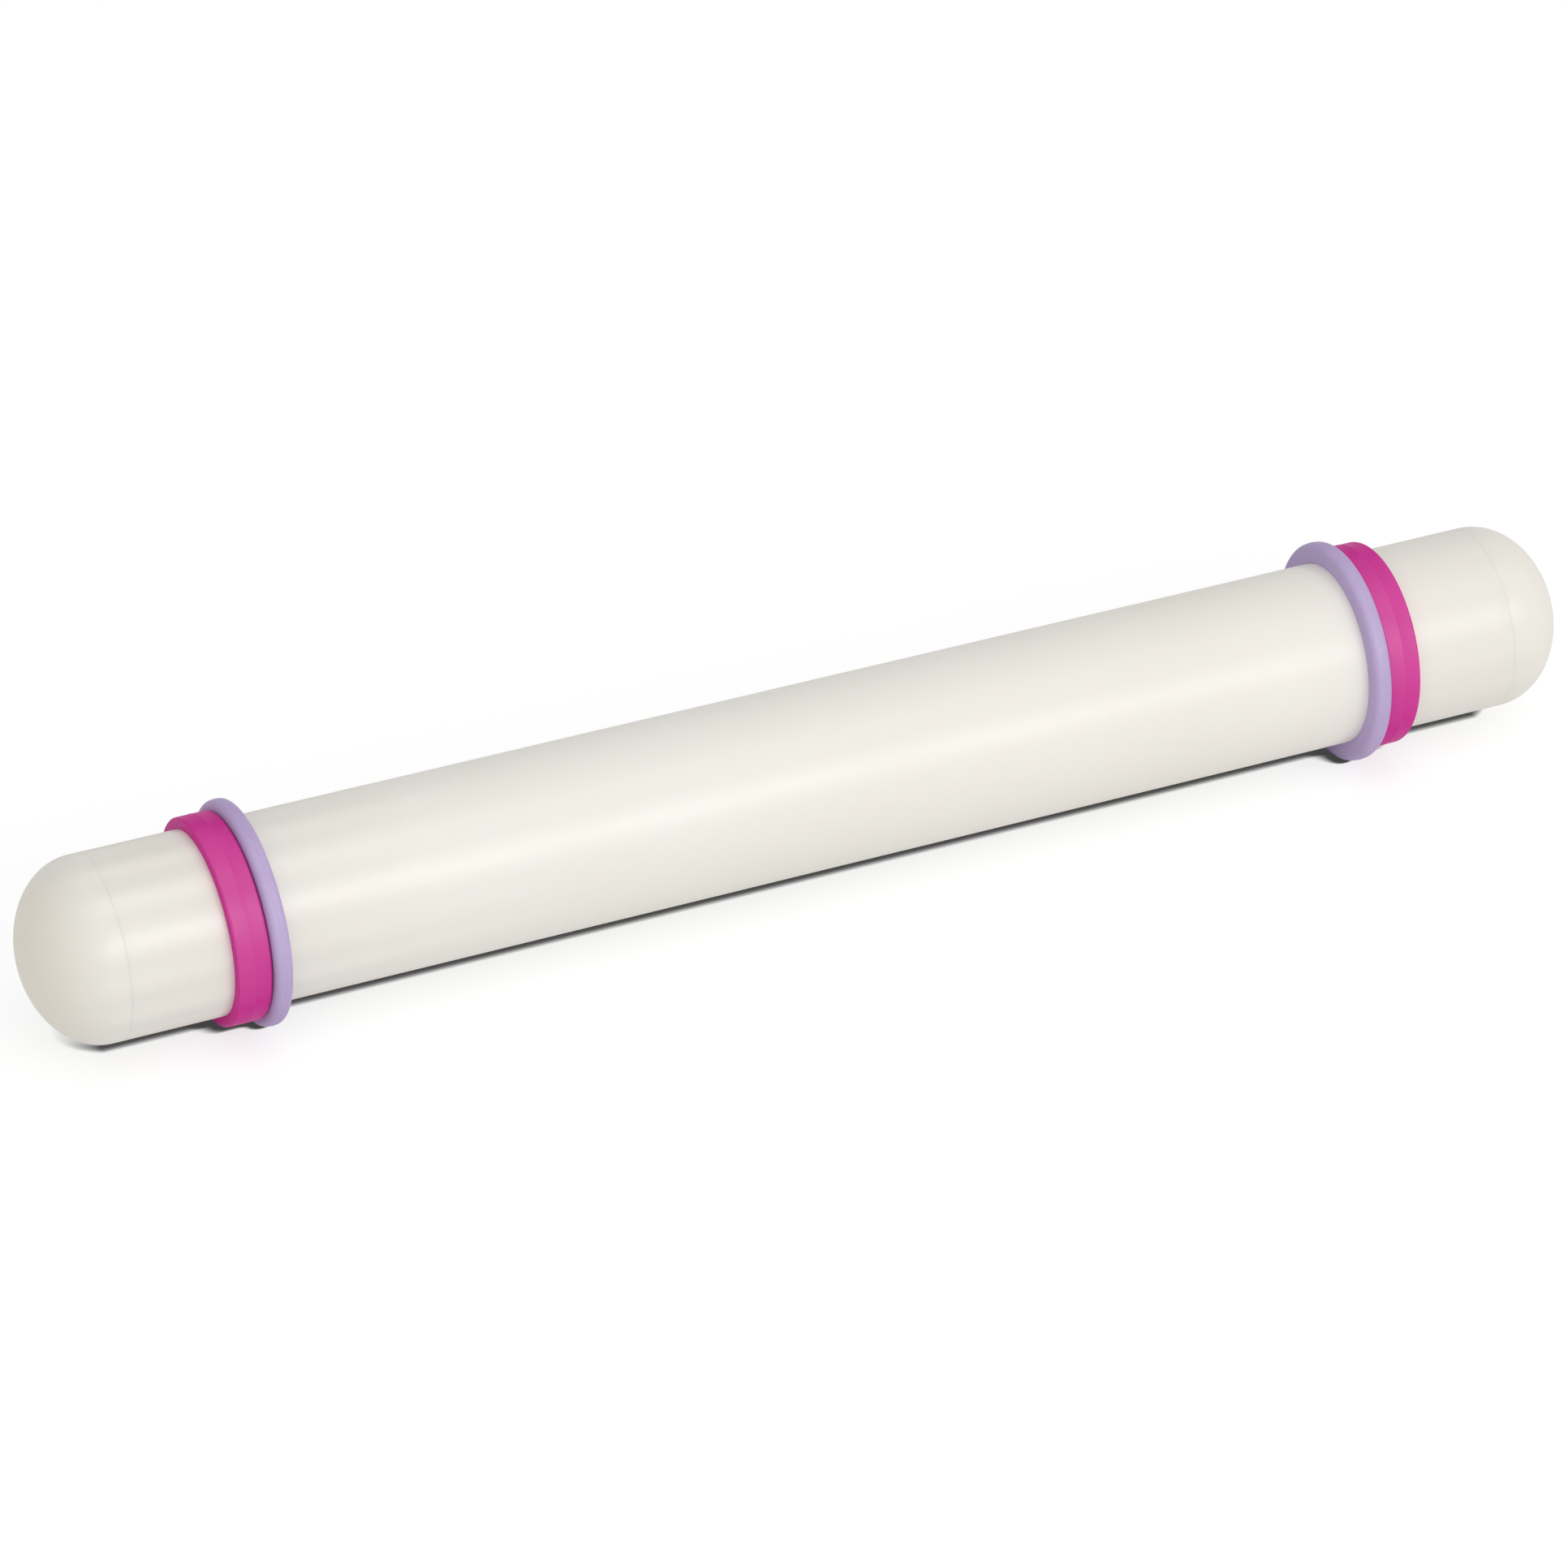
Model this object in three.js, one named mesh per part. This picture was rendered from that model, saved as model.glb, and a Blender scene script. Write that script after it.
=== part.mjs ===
// A small rolling pin for dough and fondant, lying along X with its middle at the origin.
// A hollow plastic tube is closed at each end by a domed cap that plugs into it, and two
// pairs of elastic guide rings grip the outside: the wide pink ones hold the roller a thin
// sheet's thickness above the table, and the narrow lavender ones a thick sheet's.
// Lengths are in millimetres and +Z is up.
import * as THREE from "three";

// The roller's outside.
const rollerLength = 228.6;
const rollerDiameter = 25.8;

// The tube.
const tubeWall = 2.4;
const boreLeadIn = 0.5;

// The end caps, each a dome, a short straight rim and a hollow spigot that fills the tube's mouth.
const domeDepth = 9.75;
const domeWall = 2.4;
const rimLength = 1.2;
const spigotLength = 9;
const spigotWall = 1.8;
const spigotLeadIn = 0.8;
const spigotClearance = 0.08;

// The seam between the tube and a cap, with a fine bevel on both edges.
const seamGap = 0.05;
const seamBevel = 0.12;

// The bead round each spigot that snaps into a groove in the tube.
const beadWidth = 1.6;
const beadCrestWidth = 0.5;
const beadHeight = 0.35;
const beadPlaceShare = 0.5;

// The guide rings: height is how far a ring stands off the roller.
const pinkWidth = 4.85;
const pinkHeight = 1.6;
const pinkCorner = 0.4;
const lavenderWidth = 2.5;
const lavenderHeight = 2.8;
const lavenderCorner = 0.9;
const ringClearance = 0.08;
const ringGap = 0.1;

// From the tip of the roller to the outer face of the pink ring at that end.
const leftPairInset = 25.2;
const rightPairInset = 26.65;

// Faces round the roller, and steps along its curved outlines.
const sides = 32;
const domeSteps = 9;
const cavitySteps = 5;
const cornerSteps = 4;
const cornerLimitShare = 0.45;

const quarterTurn = Math.PI / 2;
const halfSide = Math.PI / sides;

const rollerRadius = rollerDiameter / 2;
const boreRadius = rollerRadius - tubeWall;
const spigotRadius = boreRadius - spigotClearance;
const capLength = rimLength + domeDepth;
const shoulderPlace = rollerLength / 2 - capLength;
const beadPlace = spigotLength * beadPlaceShare;

const cream = new THREE.MeshStandardMaterial({ color: 0xefebe1, roughness: 0.38, metalness: 0 });
const pink = new THREE.MeshStandardMaterial({ color: 0xce3c94, roughness: 0.5, metalness: 0 });
const lavender = new THREE.MeshStandardMaterial({ color: 0xbeafd7, roughness: 0.5, metalness: 0 });

// Spins an outline round the Y axis. Each point is [distance from the axis, place along it], and the
// distances are those to the middle of a flat side, so that the flats lie at the stated radius.
function spin(outline) {
  const cornerRadius = (radius) => radius / Math.cos(halfSide);
  const points = outline.map(([radius, place]) => new THREE.Vector2(cornerRadius(radius), place));
  return new THREE.LatheGeometry(points, sides, halfSide);
}

// A quarter of an ellipse about [radius, place], from one angle to another. Angle 0 points away
// from the axis and a quarter turn points along it.
function quarter([radius, place], reachOut, reachAlong, from, to, steps) {
  return Array.from({ length: steps + 1 }, (_, step) => {
    const angle = from + ((to - from) * step) / steps;
    return [radius + reachOut * Math.cos(angle), place + reachAlong * Math.sin(angle)];
  });
}

// The raised outline of the snap bead on a surface of the given radius, from its lower side to its
// upper side. The groove is the same outline on the bore, so the clearance is the spigot's.
function bead(radius, place) {
  return [
    [radius, place - beadWidth / 2],
    [radius + beadHeight, place - beadCrestWidth / 2],
    [radius + beadHeight, place + beadCrestWidth / 2],
    [radius, place + beadWidth / 2],
  ];
}

// The tube, centred on its own middle, with a groove near each mouth.
function tubeShape() {
  const end = shoulderPlace - seamGap;
  const groovePlace = shoulderPlace - beadPlace;
  return spin([
    [rollerRadius - seamBevel, -end],
    [rollerRadius, -end + seamBevel],
    [rollerRadius, end - seamBevel],
    [rollerRadius - seamBevel, end],
    [boreRadius + boreLeadIn, end],
    [boreRadius, end - boreLeadIn],
    ...bead(boreRadius, groovePlace).reverse(),
    ...bead(boreRadius, -groovePlace).reverse(),
    [boreRadius, -end + boreLeadIn],
    [boreRadius + boreLeadIn, -end],
    [rollerRadius - seamBevel, -end],
  ]);
}

// A cap, with the shoulder that meets the tube at 0 and the tip of its dome at the far end. It is
// one moulded cup, open towards the tube, so its cavity runs straight down through the spigot.
function capShape() {
  const cavityRadius = spigotRadius - spigotWall;
  const cavityDepth = domeDepth - domeWall;
  return spin([
    ...quarter([0, rimLength], cavityRadius, cavityDepth, quarterTurn, 0, cavitySteps),
    [cavityRadius, -spigotLength],
    [spigotRadius - spigotLeadIn, -spigotLength],
    [spigotRadius, -spigotLength + spigotLeadIn],
    ...bead(spigotRadius, -beadPlace),
    [spigotRadius, 0],
    [rollerRadius - seamBevel, 0],
    [rollerRadius, seamBevel],
    ...quarter([0, rimLength], rollerRadius, domeDepth, 0, quarterTurn, domeSteps),
  ]);
}

// A guide ring, centred on its own middle: flat faces and bore, and a crown with rounded corners.
function ringShape(width, height, wantedCorner) {
  const bore = rollerRadius + ringClearance;
  const crown = rollerRadius + height;
  const corner = Math.min(wantedCorner, width * cornerLimitShare, crown - bore);
  const lower = [crown - corner, -width / 2 + corner];
  const upper = [crown - corner, width / 2 - corner];
  return spin([
    [bore, -width / 2],
    ...quarter(lower, corner, corner, -quarterTurn, 0, cornerSteps),
    ...quarter(upper, corner, corner, 0, quarterTurn, cornerSteps),
    [bore, width / 2],
    [bore, -width / 2],
  ]);
}

// A named piece on the roller's axis. Side -1 is the left end and 1 the right end.
function piece(name, geometry, material, place, side = 1) {
  const mesh = new THREE.Mesh(geometry, material);
  mesh.name = name;
  mesh.position.y = side * place;
  mesh.rotation.x = side < 0 ? Math.PI : 0;
  return mesh;
}

// The cap and the pair of guide rings at one end.
function endPieces(name, side, pairInset) {
  const pinkPlace = rollerLength / 2 - pairInset - pinkWidth / 2;
  const lavenderPlace = pinkPlace - pinkWidth / 2 - ringGap - lavenderWidth / 2;
  const pinkRing = ringShape(pinkWidth, pinkHeight, pinkCorner);
  const lavenderRing = ringShape(lavenderWidth, lavenderHeight, lavenderCorner);
  return [
    piece(`${name}_end_cap`, capShape(), cream, shoulderPlace, side),
    piece(`${name}_pink_ring`, pinkRing, pink, pinkPlace, side),
    piece(`${name}_lavender_ring`, lavenderRing, lavender, lavenderPlace, side),
  ];
}

// The pieces are spun about Y, so the whole pin is turned once to lie along X.
const pin = new THREE.Group();
pin.rotation.z = -quarterTurn;
pin.add(piece("roller_tube", tubeShape(), cream, 0));
pin.add(...endPieces("left", -1, leftPairInset));
pin.add(...endPieces("right", 1, rightPairInset));

const rollingPin = new THREE.Group();
rollingPin.add(pin);

export default rollingPin;
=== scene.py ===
# %% [markdown]
# # A mini rolling pin
# This lesson dresses a small fondant rolling pin: a cream plastic roller with domed ends, and a
# pink and a lavender rubber guide ring near each end. The pieces already exist as plain solids
# with flat sides, so their places and outer sizes can be read from them. What is left to make is
# what the eye enjoys: truly round surfaces, soft corners, fine seams, and three believable
# finishes.

# %% Load the solids
import math

import bmesh
import bpy
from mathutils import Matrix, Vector


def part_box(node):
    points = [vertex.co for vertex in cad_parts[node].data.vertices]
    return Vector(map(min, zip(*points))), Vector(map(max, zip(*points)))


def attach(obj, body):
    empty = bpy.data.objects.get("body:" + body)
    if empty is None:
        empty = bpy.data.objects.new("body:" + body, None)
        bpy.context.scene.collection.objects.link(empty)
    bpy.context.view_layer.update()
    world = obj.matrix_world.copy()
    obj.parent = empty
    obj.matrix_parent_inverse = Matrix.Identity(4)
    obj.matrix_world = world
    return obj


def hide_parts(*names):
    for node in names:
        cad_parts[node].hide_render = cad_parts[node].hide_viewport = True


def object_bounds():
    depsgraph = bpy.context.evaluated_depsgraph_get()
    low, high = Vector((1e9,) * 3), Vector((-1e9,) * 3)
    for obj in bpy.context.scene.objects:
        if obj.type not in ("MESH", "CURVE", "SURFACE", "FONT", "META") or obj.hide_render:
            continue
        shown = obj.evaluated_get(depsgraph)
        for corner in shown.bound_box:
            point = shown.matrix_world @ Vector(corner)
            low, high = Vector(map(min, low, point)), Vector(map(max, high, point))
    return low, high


MM = 0.001
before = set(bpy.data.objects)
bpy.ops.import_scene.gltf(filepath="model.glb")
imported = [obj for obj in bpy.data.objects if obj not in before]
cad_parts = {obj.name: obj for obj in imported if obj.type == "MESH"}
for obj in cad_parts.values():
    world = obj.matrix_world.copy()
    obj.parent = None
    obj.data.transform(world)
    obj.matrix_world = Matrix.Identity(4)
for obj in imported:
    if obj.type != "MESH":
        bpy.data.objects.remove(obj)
solid_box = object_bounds()
print("solids:", ", ".join(sorted(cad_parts)))

# %% [markdown]
# ## The camera
# The camera stands to the left of the pin and looks down on it, from far away and through a long
# lens, so both ends look almost the same size. Blender gives a lens in millimetres for a sensor
# 36 mm wide, and a focal length counted in pixels of the photograph turns into that by a simple
# share. Aiming with `to_track_quat` keeps the horizon level, which is easier to trust than three
# angles typed by hand.

# %% Place the camera
PHOTO_WIDTH_PIXELS = 1932
FOCAL_LENGTH_PIXELS = 9559
SENSOR_WIDTH_MM = 36
CAMERA_AZIMUTH = math.radians(-24.12)
CAMERA_ELEVATION = math.radians(32.33)
CAMERA_DISTANCE = 1066 * MM
AIM_POINT = Vector((-3.2, 0.9, -0.8)) * MM


def direction(azimuth, elevation):
    """The unit vector from the pin towards a viewer or a lamp. Azimuth 0 is the -Y side."""
    level = math.cos(elevation)
    return Vector((math.sin(azimuth) * level, -math.cos(azimuth) * level, math.sin(elevation)))


def look_from(item, azimuth, elevation, distance, aim):
    """Stands a camera or a lamp off from a point and turns it to face that point."""
    towards = direction(azimuth, elevation)
    item.location = aim + towards * distance
    item.rotation_euler = (-towards).to_track_quat("-Z", "Y").to_euler()


camera = bpy.data.objects.new("camera", bpy.data.cameras.new("camera"))
bpy.context.scene.collection.objects.link(camera)
camera.data.sensor_width = SENSOR_WIDTH_MM
camera.data.lens = SENSOR_WIDTH_MM * FOCAL_LENGTH_PIXELS / PHOTO_WIDTH_PIXELS
look_from(camera, CAMERA_AZIMUTH, CAMERA_ELEVATION, CAMERA_DISTANCE, AIM_POINT)
bpy.context.scene.camera = camera
print(f"lens {camera.data.lens:.1f} mm, camera {camera.location.length / MM:.0f} mm away")

# %% [markdown]
# ## A lathe for round pieces
# Every piece of this pin is round about the X axis, like work turned on a lathe. A helper spins an
# outline, given as pairs of radius and place along the axis, into a closed mesh. Writing the
# vertices with `bmesh` gives full control of where the rings of faces fall, which a Screw
# modifier would hide. Fine steps keep the silhouette smooth even in a close view.

# %% The lathe
ROUND_STEPS = 192
SHARP_EDGE_ANGLE = math.radians(35)
ON_AXIS = 1e-6 * MM


def arc(centre_radius, centre_place, reach_out, reach_along, start, end, steps):
    """Points on part of an ellipse. At 0 degrees it is furthest from the axis."""
    angles = [math.radians(start + (end - start) * step / steps) for step in range(steps + 1)]
    return [
        (centre_radius + reach_out * math.cos(angle), centre_place + reach_along * math.sin(angle))
        for angle in angles
    ]


def ring_of_vertices(mesh, radius, place, shape):
    """One ring of the lathe work, or a single vertex where the outline meets the axis."""
    if radius < ON_AXIS:
        return [mesh.verts.new((place, 0, 0))]
    ring = []
    for step in range(ROUND_STEPS):
        angle = math.tau * step / ROUND_STEPS
        along, out = shape(place, radius, angle) if shape else (place, radius)
        ring.append(mesh.verts.new((along, out * math.sin(angle), out * math.cos(angle))))
    return ring


def skin(mesh, first, second):
    """Faces between two neighbouring rings, either of which may be a single vertex."""
    for step in range(ROUND_STEPS):
        after = (step + 1) % ROUND_STEPS
        corners = [first[step % len(first)], first[after % len(first)]]
        corners += [second[after % len(second)], second[step % len(second)]]
        mesh.faces.new(list(dict.fromkeys(corners)))


def turn(name, outline, closed=False, shape=None):
    """Spins an outline about X. `shape` may shift a point by its place, radius and angle."""
    mesh = bmesh.new()
    rings = [ring_of_vertices(mesh, radius, place, shape) for radius, place in outline]
    following = rings[1:] + rings[:1] if closed else rings[1:]
    for first, second in zip(rings, following):
        skin(mesh, first, second)
    bmesh.ops.recalc_face_normals(mesh, faces=mesh.faces)
    data = bpy.data.meshes.new(name)
    mesh.to_mesh(data)
    mesh.free()
    data.shade_smooth()
    data.set_sharp_from_angle(angle=SHARP_EDGE_ANGLE)
    piece = bpy.data.objects.new(name, data)
    bpy.context.scene.collection.objects.link(piece)
    print(f"{name}: {len(data.polygons)} faces")
    return piece


# %% [markdown]
# ## Reading sizes from the solids
# The solids say where everything goes. Only the walls, the domes and the spigots, which a box
# can't tell, are named here once more.

# %% Sizes
TUBE_WALL = 2.4 * MM
SPIGOT_CLEARANCE = 0.08 * MM
SPIGOT_WALL = 1.8 * MM
SPIGOT_LENGTH = 9 * MM
DOME_DEPTH = 9.75 * MM
DOME_WALL = 2.4 * MM

tube_low, tube_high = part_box("roller_tube")
ROLLER_RADIUS = tube_high.z
BORE_RADIUS = ROLLER_RADIUS - TUBE_WALL
SPIGOT_RADIUS = BORE_RADIUS - SPIGOT_CLEARANCE
print(f"roller {2 * ROLLER_RADIUS / MM:.1f} mm thick, tube {(tube_high.x - tube_low.x) / MM:.1f} mm long")

# %% [markdown]
# ## The roller tube
# A moulded tube is never a perfect cylinder. The plastic shrinks a little unevenly as it cools,
# and leaves long, very shallow waves that bend the highlight. Narrow flow ripples run lengthwise
# from the end where the plastic was let in, and fade out before the middle. All of them are only
# hundredths of a millimetre deep, so a few sine waves in the mesh are enough, and they always
# push inwards so that the tube stays within its true diameter.
#
# The seam with each cap is a real hairline gap between two rounded edges, because a painted line
# would vanish close by. The waves die away before it, so that both edges meet at one height.

# %% The tube
WAVE_DEPTH = 0.012 * MM
# The length of each wave along the tube, and how often it winds round.
WAVES = ((61 * MM, 2), (37 * MM, -3))
RIPPLE_DEPTH = 0.012 * MM
RIPPLES_ROUND = 15
FINE_RIPPLE_SHARE = 0.4
FINE_RIPPLE_TURN = 2
RIPPLE_REACH = 62 * MM
SETTLE_LENGTH = 4 * MM
SEAM_BEVEL = 0.02 * MM
BEVEL_STEPS = 3
TUBE_STEPS = 110


def lifted(value, most):
    """Turns a value between -most and most into one between 0 and 1."""
    return (most + value) / (2 * most)


def ripple_share(place):
    """1 at the left mouth of the tube, falling smoothly to 0 at RIPPLE_REACH from it."""
    share = max(0, 1 - (place - tube_low.x) / RIPPLE_REACH)
    return share * share * (3 - 2 * share)


def sunken(place, radius, angle):
    """Shallow waves and ripples on the outside, always inwards from the true radius."""
    if radius < ROLLER_RADIUS - SEAM_BEVEL / 2:
        return place, radius
    wave = sum(math.sin(math.tau * place / length + turns * angle) for length, turns in WAVES)
    ripple = math.sin(RIPPLES_ROUND * angle)
    ripple += FINE_RIPPLE_SHARE * math.sin(2 * RIPPLES_ROUND * angle + FINE_RIPPLE_TURN)
    depth = WAVE_DEPTH * lifted(wave, len(WAVES))
    depth += RIPPLE_DEPTH * ripple_share(place) * lifted(ripple, 1 + FINE_RIPPLE_SHARE)
    nearest_mouth = min(place - tube_low.x, tube_high.x - place)
    settled = min(1, max(0, nearest_mouth / SETTLE_LENGTH))
    return place, radius - depth * settled


def outer_edge(seam, side):
    """The rounded edge of a piece that lies on the given side of a seam, from left to right."""
    start, end = (-90, 0) if side > 0 else (0, 90)
    centre = seam + side * SEAM_BEVEL
    return arc(ROLLER_RADIUS - SEAM_BEVEL, centre, SEAM_BEVEL, SEAM_BEVEL, start, end, BEVEL_STEPS)


def tube_outline():
    """The outside from left to right, and back through the bore."""
    low, high = tube_low.x, tube_high.x
    first, last = low + SEAM_BEVEL, high - SEAM_BEVEL
    step = (last - first) / TUBE_STEPS
    middle = [(ROLLER_RADIUS, first + step * count) for count in range(1, TUBE_STEPS)]
    return outer_edge(low, 1) + middle + outer_edge(high, -1) + [(BORE_RADIUS, high), (BORE_RADIUS, low)]


tube = turn("tube", tube_outline(), closed=True, shape=sunken)

# %% [markdown]
# ## The domed end caps
# Each cap is one moulding: a dome, a short rim as wide as the roller, and a hollow spigot that
# fills the tube's mouth. A squashed sphere would do for the dome alone, but one turned outline
# holds all three in a single closed piece. The dome is a little flatter than a half sphere, so
# its outline is a quarter of an ellipse. Equal steps of angle put more faces near the rim, where
# it curves most.

# %% The caps
DOME_STEPS = 40
CAVITY_STEPS = 12
SEAM_GAP = 0.008 * MM


def cap_outline(shoulder, tip):
    """From the bottom of the cavity, round the spigot and over the dome to the tip."""
    side = 1 if tip > shoulder else -1
    dome_base = tip - side * DOME_DEPTH
    cavity_radius = SPIGOT_RADIUS - SPIGOT_WALL
    cavity_depth = side * (DOME_DEPTH - DOME_WALL)
    mouth = shoulder - side * SPIGOT_LENGTH
    cavity = arc(0, dome_base, cavity_radius, cavity_depth, 90, 0, CAVITY_STEPS)
    spigot = [(cavity_radius, mouth), (SPIGOT_RADIUS, mouth), (SPIGOT_RADIUS, shoulder)]
    edge = outer_edge(shoulder, side)
    dome = arc(0, dome_base, ROLLER_RADIUS, side * DOME_DEPTH, 0, 90, DOME_STEPS)
    return cavity + spigot + (edge if side > 0 else edge[::-1]) + dome


caps = {
    "left": turn("left_cap", cap_outline(tube_low.x - SEAM_GAP, solid_box[0].x)),
    "right": turn("right_cap", cap_outline(tube_high.x + SEAM_GAP, solid_box[1].x)),
}

# %% [markdown]
# ## The guide rings
# The rings set how thick the dough is rolled: the pink pair is low and wide, and the lavender pair
# tall and narrow. They are rubber and grip the roller, so the bore is drawn almost touching it.
# Rubber rings show three small things that a plain band lacks: round corners, a fine parting
# line round the crown where the two halves of the mould met, and a slightly uneven width.
#
# Both pairs were pushed on a little askew, so they lean along the roller as they go round.
# Turning the whole object would sink a ring into the roller, so a sine wave shifts its points
# along the axis instead, and the bore stays round.

# %% The rings
RING_CLEARANCE = 0.03 * MM
PARTING_LINE_HEIGHT = 0.04 * MM
PARTING_LINE_WIDTH = 0.24 * MM
CORNERS = {"pink": 0.4 * MM, "lavender": 0.9 * MM}
CORNER_STEPS = 10
UNEVEN = 0.03 * MM
# How many waves go round a ring, and where each of them starts.
UNEVEN_WAVES = ((2, 0), (3, 1))
# How far each pair leans, and where it lies furthest right, as an angle from the top.
LEANS = {"left": (0.28 * MM, math.radians(215)), "right": (0.2 * MM, math.radians(35))}


def ring_outline(node, corner):
    """A ring's section: flat faces, round corners and a crown with a parting line."""
    low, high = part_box(node)
    bore = ROLLER_RADIUS + RING_CLEARANCE
    crown = high.z - PARTING_LINE_HEIGHT
    middle, half = (low.x + high.x) / 2, PARTING_LINE_WIDTH / 2
    return (
        [(bore, low.x)]
        + arc(crown - corner, low.x + corner, corner, corner, -90, 0, CORNER_STEPS)
        + [(crown, middle - half), (high.z, middle), (crown, middle + half)]
        + arc(crown - corner, high.x - corner, corner, corner, 0, 90, CORNER_STEPS)
        + [(bore, high.x)]
    )


def make_ring(side, colour, corner):
    """One guide ring, shaped a little uneven and leaning along the roller."""
    lean, lean_side = LEANS[side]

    def relaxed(place, radius, angle):
        waver = sum(math.sin(waves * angle + start) for waves, start in UNEVEN_WAVES)
        leaning = lean * math.cos(angle - lean_side)
        return place + leaning + UNEVEN * waver / len(UNEVEN_WAVES), radius

    outline = ring_outline(f"{side}_{colour}_ring", corner)
    return turn(f"{side}_{colour}_guide", outline, closed=True, shape=relaxed)


rings = {
    (side, colour): make_ring(side, colour, corner)
    for side in LEANS
    for colour, corner in CORNERS.items()
}

# %% [markdown]
# ## Helpers for nodes
# A finish is a small graph of nodes round a shader. `add` makes one node and fills its sockets by
# name, and `add_in_order` fills them one by one, for nodes whose sockets share a name. `maths` and
# `spread` are the two nodes that recipes use most: a sum, and a value moved from one range to
# another. They work for a world as well as for a material, because both keep a node tree.

# %% Node helpers


def join(material, value, socket):
    """Wires another node's output to a socket, or sets the socket to a plain value."""
    if isinstance(value, bpy.types.NodeSocket):
        material.node_tree.links.new(value, socket)
    else:
        socket.default_value = value


def add(material, kind, settings=(), **inputs):
    """Adds a node. A socket's name is written with an underscore for each space."""
    node = material.node_tree.nodes.new(kind)
    for name, value in dict(settings).items():
        setattr(node, name, value)
    for name, value in inputs.items():
        join(material, value, node.inputs[name.replace("_", " ")])
    return node


def add_in_order(material, kind, settings, *values):
    node = add(material, kind, settings)
    for value, socket in zip(values, node.inputs):
        join(material, value, socket)
    return node


def maths(material, operation, *values):
    return add_in_order(material, "ShaderNodeMath", {"operation": operation}, *values).outputs["Value"]


def spread(material, value, start, end, first, last):
    """Turns a value between start and end into one between first and last, and stops there."""
    limits = {"From_Min": start, "From_Max": end, "To_Min": first, "To_Max": last}
    return add(material, "ShaderNodeMapRange", Value=value, **limits).outputs["Result"]


def own_place(material):
    """The object's own coordinates, which stay with the piece when it moves."""
    return add(material, "ShaderNodeTexCoord").outputs["Object"]


def own_axes(material):
    """The object's own coordinates as three numbers."""
    return add(material, "ShaderNodeSeparateXYZ", Vector=own_place(material)).outputs


# %% [markdown]
# ## Helpers for finishes
# Nothing that is made stays even in colour, shine and skin. Noise gives all three: two close
# colours mixed by a wide noise, a roughness that follows a scuffed one, and a Bump node with a
# fine one. The depth of the bump is a real length, so that it suits the size of the object. Shine
# is told by the specular level, which falls here as the surface turns away from the eye: soft
# plastic and rubber have no clear skin, so their outline doesn't flare up as glass would.

# %% Finish helpers
NOISE_LOW, NOISE_HIGH = 0.3, 0.7
FACTOR, FIRST_COLOUR, SECOND_COLOUR, MIXED_COLOUR = 0, 6, 7, 2


def start_material(name):
    """A new material and its Principled shader."""
    material = bpy.data.materials.new(name)
    material.use_nodes = True
    return material, material.node_tree.nodes["Principled BSDF"]


def drawn_place(material, share):
    """Coordinates that grow slowly along the roller, which draws a noise out lengthwise."""
    scale = (share, 1, 1)
    return add(material, "ShaderNodeMapping", Vector=own_place(material), Scale=scale).outputs["Vector"]


def noise(material, vector, blots, layers):
    """Noise with so many blots to a metre, and so many layers of ever finer ones on top."""
    return add(material, "ShaderNodeTexNoise", Vector=vector, Scale=blots, Detail=layers).outputs["Fac"]


def between(material, value, low, high):
    """Turns a noise value into a number between two limits."""
    return spread(material, value, NOISE_LOW, NOISE_HIGH, low, high)


def blend_colours(material, value, first, second):
    """A Mix node keeps sockets for numbers and for colours side by side, told apart by number."""
    mix = add(material, "ShaderNodeMix", {"data_type": "RGBA"})
    join(material, value, mix.inputs[FACTOR])
    join(material, (*first, 1), mix.inputs[FIRST_COLOUR])
    join(material, (*second, 1), mix.inputs[SECOND_COLOUR])
    return mix.outputs[MIXED_COLOUR]


def bump(material, height, depth, under=None):
    """Adds relief of a real depth, on top of the relief underneath."""
    extra = {"Normal": under} if under else {}
    return add(material, "ShaderNodeBump", Height=height, Distance=depth, **extra).outputs["Normal"]


def quieter_edges(material, gloss, turned):
    """A specular level that falls as the surface turns away, between two shares of the turn."""
    facing = add(material, "ShaderNodeLayerWeight").outputs["Facing"]
    return spread(material, facing, *turned, *gloss)


def scatter(shader, weight, radius, scale):
    """Lets light enter the surface a little before it comes back."""
    shader.inputs["Subsurface Weight"].default_value = weight
    shader.inputs["Subsurface Radius"].default_value = radius
    shader.inputs["Subsurface Scale"].default_value = scale


# %% [markdown]
# ## The roller's colour
# Two things are painted along the roller. One is painted shade: outside the rings the plastic is
# painted a shade darker, and the left tip a shade darker and warmer. The other is painted highlight
# bands, lighter and darker by turns as they go round, near the left end and faintly near the right
# one. A Color Ramp along X says where each is strong. The roller has its own coordinates, so
# nothing of this shifts when a ring slides past.

# %% The roller's colour
HIGHLIGHT_BANDS_ROUND = RIPPLES_ROUND
HIGHLIGHT_BAND_TURN = math.radians(229)
HIGHLIGHT_BAND_STRENGTH = 0.036
HIGHLIGHT_BAND_WEAKEST, HIGHLIGHT_BAND_STRONGEST = 0.5, 1.4
RAMP_MIDDLE = 0.5


def grey(level):
    return (level, level, level)


# Painted shade: a darker grey outside the rings, and a darker, warmer tint on the left tip.
PAINTED_WARM_SHADE, PAINTED_END_SHADE, UNSHADED = (1, 0.968, 0.9), grey(0.967), grey(1)
# Places in millimetres from the middle of the roller, with the painted shade or the band strength there.
PAINTED_SHADE_STOPS = (
    (-113, PAINTED_WARM_SHADE),
    (-108, PAINTED_END_SHADE),
    (-78, PAINTED_END_SHADE),
    (-60, UNSHADED),
    (82, UNSHADED),
    (90, PAINTED_END_SHADE),
    (103, PAINTED_END_SHADE),
    (110, UNSHADED),
)
# Where the painted highlight bands are strong.
HIGHLIGHT_BAND_STOPS = (
    (-109, grey(0)),
    (-102, grey(1)),
    (-42, grey(0)),
    (86, grey(0)),
    (102, grey(0.25)),
    (109, grey(0)),
)


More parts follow.
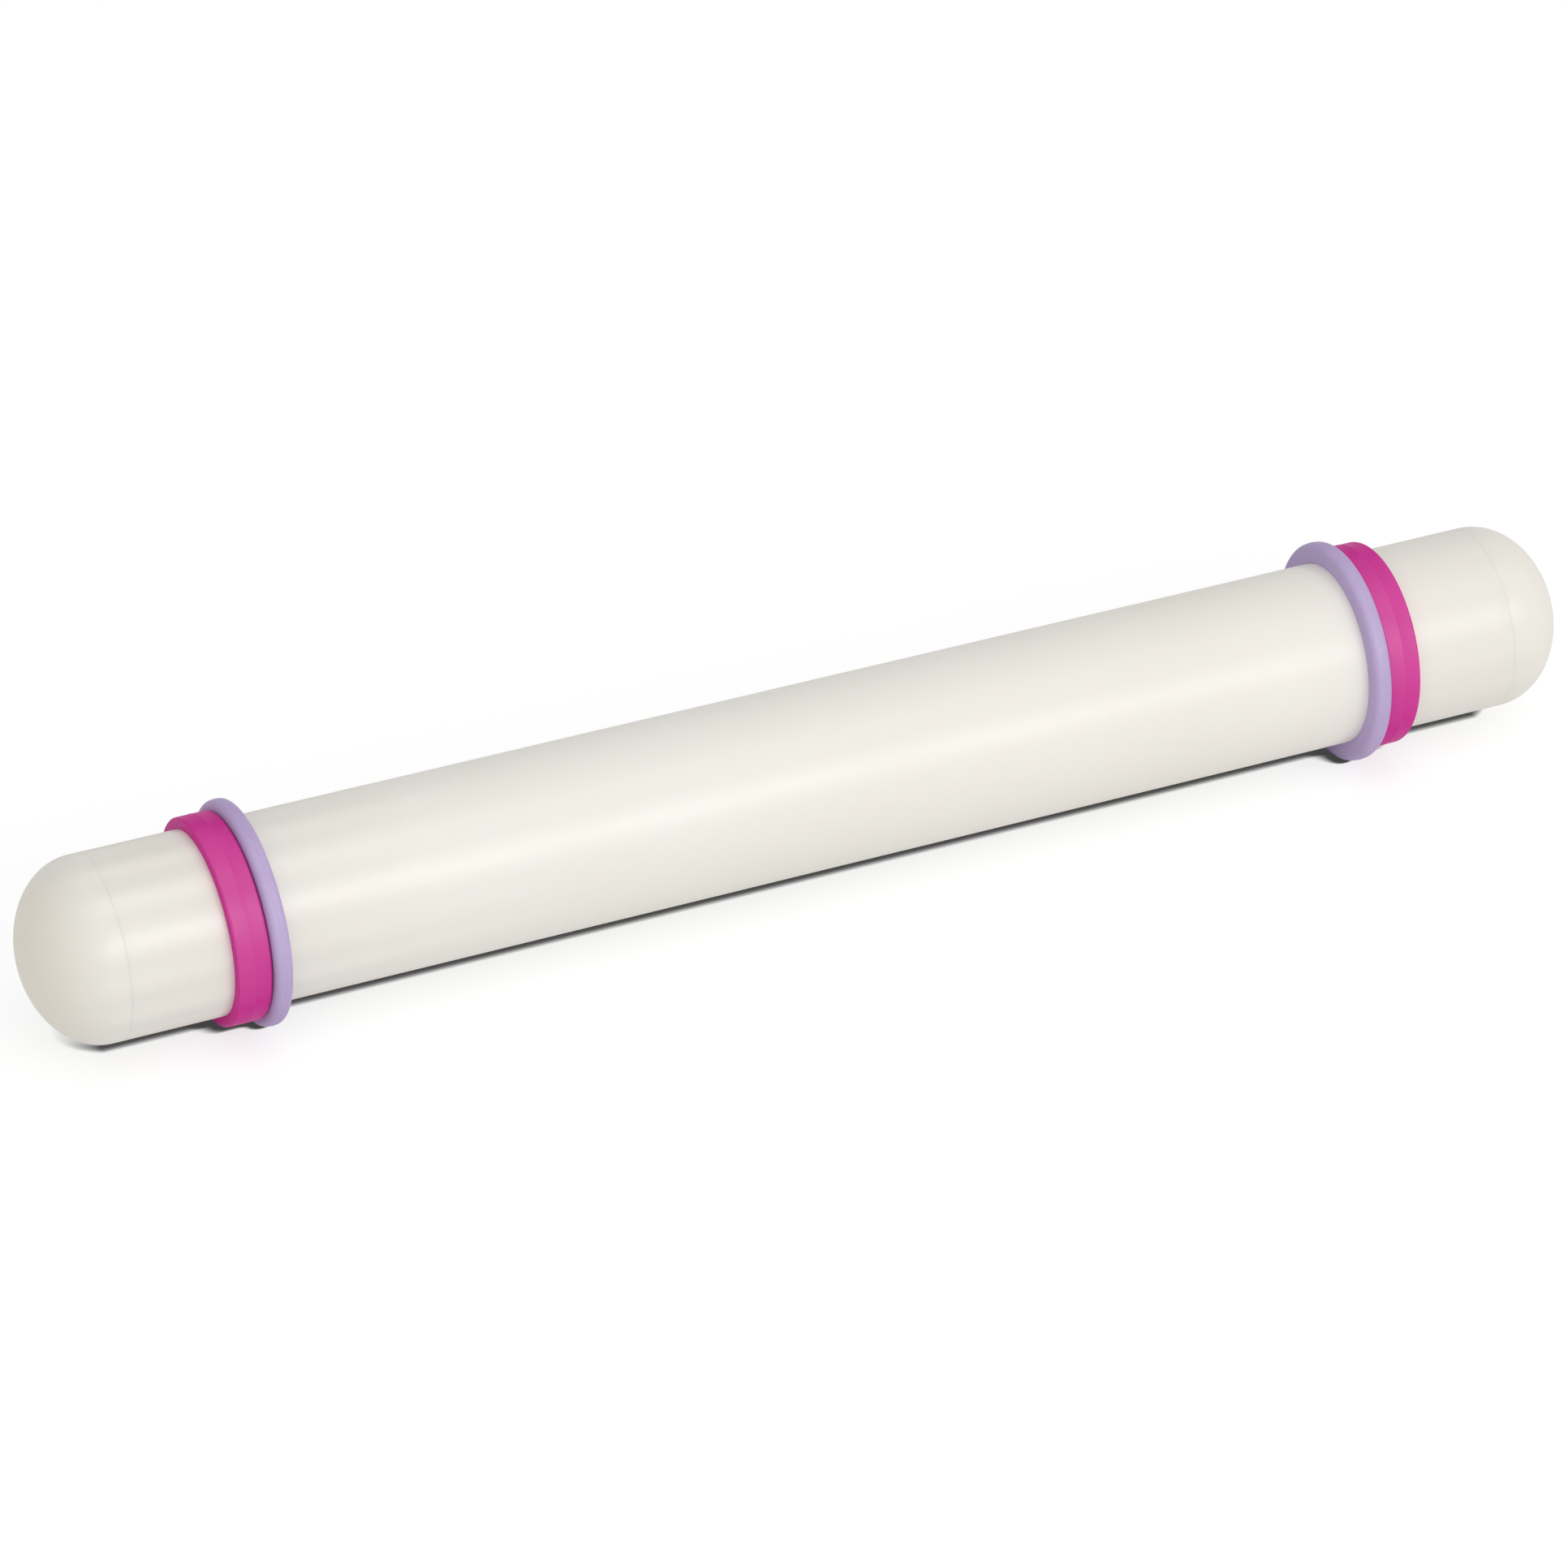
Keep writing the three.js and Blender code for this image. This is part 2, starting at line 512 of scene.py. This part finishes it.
def along_roller(material, place_stops):
    """A colour that changes along the roller, from one of the given places to the next."""
    low, high = solid_box[0].x, solid_box[1].x
    share = spread(material, own_axes(material)["X"], low, high, 0, 1)
    ramp = add(material, "ShaderNodeValToRGB", Fac=share)
    stops = ramp.color_ramp.elements
    while len(stops) < len(place_stops):
        stops.new(RAMP_MIDDLE)
    for stop, (place, colour) in zip(stops, place_stops):
        stop.position = (place * MM - low) / (high - low)
        stop.color = (*colour, 1)
    return ramp.outputs["Color"]


def tinted(material, colour, tint):
    """A colour multiplied by another colour, or by a number."""
    kind, settings = "ShaderNodeVectorMath", {"operation": "MULTIPLY"}
    return add_in_order(material, kind, settings, colour, tint).outputs["Vector"]


def painted_highlight_bands(material, colour, unevenness):
    """The colour with painted highlight bands, a little lighter and darker by turns round the roller."""
    axes = own_axes(material)
    angle = maths(material, "ARCTAN2", axes["Y"], axes["Z"])
    wave = maths(material, "SINE", maths(material, "MULTIPLY_ADD", angle, HIGHLIGHT_BANDS_ROUND, HIGHLIGHT_BAND_TURN))
    uneven = between(material, unevenness, HIGHLIGHT_BAND_WEAKEST, HIGHLIGHT_BAND_STRONGEST)
    wave = maths(material, "MULTIPLY", wave, uneven)
    wave = maths(material, "MULTIPLY", wave, along_roller(material, HIGHLIGHT_BAND_STOPS))
    return tinted(material, colour, maths(material, "MULTIPLY_ADD", wave, HIGHLIGHT_BAND_STRENGTH, 1))


# %% [markdown]
# ## Cream plastic
# The roller is a soft, slightly waxy plastic, which a little subsurface scattering gives. Its
# shine is satin: one broad, quiet band of light. Faint draw marks run along the length, so their
# noise is drawn out along X, and a very fine grain breaks up what would look like glass. The
# colour drifts a little between two creams, because one flat colour looks like paint on paper.

# %% Cream plastic
CREAM_LIGHT = (0.92, 0.892, 0.83)
CREAM_DARK = (0.9, 0.868, 0.79)
DRAWN_SHARE = 0.06
DRIFT, HIGHLIGHT_BAND_NOISE = (28, 2), (300, 1)
SCUFFS, SCUFF_DEPTH = (900, 3), 0.004 * MM
GRAIN, GRAIN_DEPTH = (5200, 2), 0.0012 * MM
PLASTIC_ROUGHNESS = (0.33, 0.42)
PLASTIC_GLOSS, PLASTIC_TURNED = (0.85, 0.1), (0.4, 0.9)
PLASTIC_SCATTER = (0.1, (1.0, 0.7, 0.35), 1 * MM)


def cream_plastic():
    material, shader = start_material("cream_plastic")
    even, drawn = own_place(material), drawn_place(material, DRAWN_SHARE)
    drift = between(material, noise(material, even, *DRIFT), 0, 1)
    colour = blend_colours(material, drift, CREAM_LIGHT, CREAM_DARK)
    # Painted highlight bands round the roller.
    colour = painted_highlight_bands(material, colour, noise(material, drawn, *HIGHLIGHT_BAND_NOISE))
    # Painted shade outside the rings, and a warmer painted shade on the left tip.
    colour = tinted(material, colour, along_roller(material, PAINTED_SHADE_STOPS))
    scuffs = noise(material, drawn, *SCUFFS)
    relief = bump(material, scuffs, SCUFF_DEPTH)
    relief = bump(material, noise(material, even, *GRAIN), GRAIN_DEPTH, relief)
    join(material, colour, shader.inputs["Base Color"])
    join(material, between(material, scuffs, *PLASTIC_ROUGHNESS), shader.inputs["Roughness"])
    join(material, relief, shader.inputs["Normal"])
    gloss = quieter_edges(material, PLASTIC_GLOSS, PLASTIC_TURNED)
    join(material, gloss, shader.inputs["Specular IOR Level"])
    scatter(shader, *PLASTIC_SCATTER)
    print(f"{material.name}: {len(material.node_tree.nodes)} nodes")
    return material


plastic = cream_plastic()

# %% [markdown]
# ## Coloured rubber
# Both rings are the same rubber in two colours, so one recipe takes the colour as its input. It
# is duller than the plastic, with a fine, slightly orange-peel skin from the mould, and it shines
# only where the ring faces the eye. Handling leaves it a touch paler in patches, which a low,
# wide noise gives.

# %% Coloured rubber
PINK, PINK_WORN = (0.64, 0.028, 0.3), (0.68, 0.04, 0.335)
LAVENDER, LAVENDER_WORN = (0.505, 0.395, 0.655), (0.545, 0.435, 0.695)
PATCHES = (160, 3)
MOULD_SKIN, SKIN_DEPTH = (2600, 2), 0.006 * MM
RUBBER_ROUGHNESS = (0.4, 0.5)
RUBBER_GLOSS, RUBBER_TURNED = (0.8, 0.05), (0.05, 0.5)
RUBBER_SCATTER = (0.15, (1.0, 0.5, 0.7), 0.8 * MM)


def coloured_rubber(name, colour, worn):
    material, shader = start_material(name)
    even = own_place(material)
    patches = noise(material, even, *PATCHES)
    patched = blend_colours(material, between(material, patches, 0, 1), colour, worn)
    relief = bump(material, noise(material, even, *MOULD_SKIN), SKIN_DEPTH)
    join(material, patched, shader.inputs["Base Color"])
    join(material, between(material, patches, *RUBBER_ROUGHNESS), shader.inputs["Roughness"])
    join(material, relief, shader.inputs["Normal"])
    gloss = quieter_edges(material, RUBBER_GLOSS, RUBBER_TURNED)
    join(material, gloss, shader.inputs["Specular IOR Level"])
    scatter(shader, *RUBBER_SCATTER)
    print(f"{material.name}: {len(material.node_tree.nodes)} nodes")
    return material


rubbers = {
    "pink": coloured_rubber("pink_guide_rubber", PINK, PINK_WORN),
    "lavender": coloured_rubber("lavender_guide_rubber", LAVENDER, LAVENDER_WORN),
}

# %% [markdown]
# ## Dressing the pieces
# Each piece gets its finish, moves with the body that its solid belongs to, and stands in for
# that solid.

# %% Dress the pieces


def dress(piece, material, body, node):
    piece.data.materials.append(material)
    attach(piece, body)
    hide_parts(node)
    print(f"{piece.name} stands for {node} and moves with {body}")


dress(tube, plastic, "roller", "roller_tube")
for side, cap in caps.items():
    dress(cap, plastic, "roller", f"{side}_end_cap")
for (side, colour), ring in rings.items():
    dress(ring, rubbers[colour], f"{side}_{colour}_guide", f"{side}_{colour}_ring")

# %% [markdown]
# ## What the eye sees, and what lights the pin
# In a studio the white behind the product is lit apart from it. Here one surface does both jobs:
# it looks white to the eye, and throws back only as much light as pale paint would. The Light
# Path node tells the two apart. A ray counts as looking when it comes straight from the camera,
# or by way of a mirror or glass, so that metal and glass would show the same white.

# %% What the eye sees


def looked_at(material):
    """1 where the eye sees a surface, straight, in a mirror or through glass, and 0 elsewhere."""
    path = add(material, "ShaderNodeLightPath").outputs
    mirrored = maths(material, "MAXIMUM", path["Is Camera Ray"], path["Is Glossy Ray"])
    return maths(material, "MAXIMUM", mirrored, path["Is Transmission Ray"])


# %% [markdown]
# ## The painted shade under the pin
# The rings hold the roller a few millimetres above the table, so a narrow strip under it gets
# almost no light. That strip is painted shade in the table's material, on top of the lamps' own
# shadow. The Ambient Occlusion node measures how much of the sky a point misses within a given
# reach, and the material is turned towards black there. The reach and the darkness change with the
# place on the table: a short reach in front keeps the strip's edge crisp, a long and weak one behind
# makes it soft, and towards both tips, where the domes rise, it fades away.

# %% The painted shade under the pin
IN_FRONT, UNDER, BEHIND = -5.2 * MM, -0.3 * MM, 4.0 * MM
REACH_IN_FRONT, REACH_UNDER, REACH_BEHIND = 0.8 * MM, 4.0 * MM, 9.0 * MM
DARKEST_UNDER, DARKEST_BEHIND = 0.07, 0.72
LEFT_SHADE_END, LEFT_SHADE_FULL = -111 * MM, -104 * MM
RIGHT_SHADE_FULL, RIGHT_SHADE_END = 103.8 * MM, 110 * MM
REACH_SHARE_AT_TIPS = 0.3
DARKEST_AT_TIPS = 0.9
COVERED, OPEN = 0.66, 1
SHADE_SAMPLES = 16


def painted_contact_shade(material):
    """Nearly 0, painted black, where the pin all but touches the table, and 1 a few millimetres away."""
    axes = own_axes(material)
    along, depth = axes["X"], axes["Y"]
    reach = spread(material, depth, UNDER, BEHIND, REACH_UNDER, REACH_BEHIND)
    reach = spread(material, depth, IN_FRONT, UNDER, REACH_IN_FRONT, reach)
    darkest = spread(material, depth, UNDER, BEHIND, DARKEST_UNDER, DARKEST_BEHIND)
    for end, full in ((LEFT_SHADE_END, LEFT_SHADE_FULL), (RIGHT_SHADE_END, RIGHT_SHADE_FULL)):
        share = spread(material, along, end, full, 0, 1)
        reach_share = spread(material, share, 0, 1, REACH_SHARE_AT_TIPS, 1)
        reach = maths(material, "MULTIPLY", reach, reach_share)
        darkest = spread(material, share, 0, 1, DARKEST_AT_TIPS, darkest)
    samples = {"samples": SHADE_SAMPLES}
    seen_sky = add(material, "ShaderNodeAmbientOcclusion", samples, Distance=reach).outputs["AO"]
    return spread(material, seen_sky, COVERED, OPEN, darkest, 1)


# %% [markdown]
# ## The table
# The pin lies on a plain pale table. What the eye sees of it is partly lit paint, which keeps the
# wide, soft shadow, and partly an even glow, which lifts it to white. What lights the pin is
# ordinary pale paint. The painted shade under the pin turns both towards black.

# %% The table
TABLE_SIZE = 6000 * MM
TABLE_PAINT = (*grey(0.8), 1)
SEEN_PAINT = (*grey(0.42), 1)
SEEN_GLOW = 0.7
BLACK = (*grey(0), 1)


def mixed(material, share, first, second):
    """The first shader at share 0 and the second at share 1."""
    return add_in_order(material, "ShaderNodeMixShader", (), share, first, second).outputs["Shader"]


def table_finish():
    """Pale paint to the pin and nearly white to the eye, with the painted shade under the pin."""
    material, paint = start_material("table_paint")
    paint.inputs["Base Color"].default_value = TABLE_PAINT
    paint.inputs["Specular IOR Level"].default_value = 0
    lit = add(material, "ShaderNodeBsdfDiffuse", Color=SEEN_PAINT).outputs["BSDF"]
    glow = add(material, "ShaderNodeEmission", Strength=SEEN_GLOW).outputs["Emission"]
    seen = add_in_order(material, "ShaderNodeAddShader", (), lit, glow).outputs["Shader"]
    table = mixed(material, looked_at(material), paint.outputs["BSDF"], seen)
    # A black diffuse, mixed in where the shade under the pin is painted.
    black = add(material, "ShaderNodeBsdfDiffuse", Color=BLACK).outputs["BSDF"]
    surface = mixed(material, painted_contact_shade(material), black, table)
    join(material, surface, material.node_tree.nodes["Material Output"].inputs["Surface"])
    return material


def make_table():
    data = bpy.data.meshes.new("table")
    half, height = TABLE_SIZE / 2, solid_box[0].z
    corners = [(-half, -half), (half, -half), (half, half), (-half, half)]
    data.from_pydata([(x, y, height) for x, y in corners], [], [(0, 1, 2, 3)])
    data.materials.append(table_finish())
    table = bpy.data.objects.new("table", data)
    bpy.context.scene.collection.objects.link(table)
    print(f"table {-height / MM:.1f} mm below the pin's axis")


make_table()

# %% [markdown]
# ## Light
# White goods are hard to light: with light from everywhere they vanish into the background. Here
# a wide, low softbox in front gives the quiet band along the roller, and a weaker one overhead
# rounds its top. The room itself is brighter in front than behind, so the plastic turns a shade
# darker towards its edges. The world shader gets this from the direction of each ray, dotted
# with one bright direction. The lamps stay hidden from the camera, and the view transform is
# Standard, so that a colour comes out about as it is written.

# %% Light
ROOM_DARKEST, ROOM_BRIGHTEST = 0.39, 0.89
BRIGHT_SIDE = Vector((0, -1, 0))
WHITE = 1
SOFTBOX_WIDTH, SOFTBOX_HEIGHT = 750 * MM, 270 * MM
SOFTBOX_DISTANCE = 900 * MM
FRONT_AZIMUTH, FRONT_ELEVATION = math.radians(13), math.radians(29)
OVERHEAD_AZIMUTH, OVERHEAD_ELEVATION = math.radians(5), math.radians(78)
FRONT_POWER, OVERHEAD_POWER = 1.67, 0.5


def softbox(name, azimuth, elevation, power):
    """A wide lamp that faces the pin and stays out of the picture."""
    lamp = bpy.data.lights.new(name, "AREA")
    lamp.shape = "RECTANGLE"
    lamp.size, lamp.size_y = SOFTBOX_WIDTH, SOFTBOX_HEIGHT
    lamp.energy = power
    item = bpy.data.objects.new(name, lamp)
    item.visible_camera = False
    bpy.context.scene.collection.objects.link(item)
    look_from(item, azimuth, elevation, SOFTBOX_DISTANCE, Vector((0, 0, 0)))
    print(f"{name}: {power} W, {item.location.z / MM:.0f} mm above the pin")


def room_light():
    """A white background to the eye, and a room with one bright side to the pin."""
    world = bpy.data.worlds.new("room")
    bpy.context.scene.world = world
    world.use_nodes = True
    background = world.node_tree.nodes["Background"]
    background.inputs["Color"].default_value = (*grey(WHITE), 1)
    ray = add(world, "ShaderNodeTexCoord").outputs["Generated"]
    kind, settings = "ShaderNodeVectorMath", {"operation": "DOT_PRODUCT"}
    forwards = add_in_order(world, kind, settings, ray, BRIGHT_SIDE).outputs["Value"]
    room = spread(world, forwards, -1, 1, ROOM_DARKEST, ROOM_BRIGHTEST)
    level = spread(world, looked_at(world), 0, 1, room, WHITE)
    join(world, level, background.inputs["Strength"])


softbox("front_softbox", FRONT_AZIMUTH, FRONT_ELEVATION, FRONT_POWER)
softbox("overhead_softbox", OVERHEAD_AZIMUTH, OVERHEAD_ELEVATION, OVERHEAD_POWER)
room_light()
bpy.context.scene.view_settings.view_transform = "Standard"
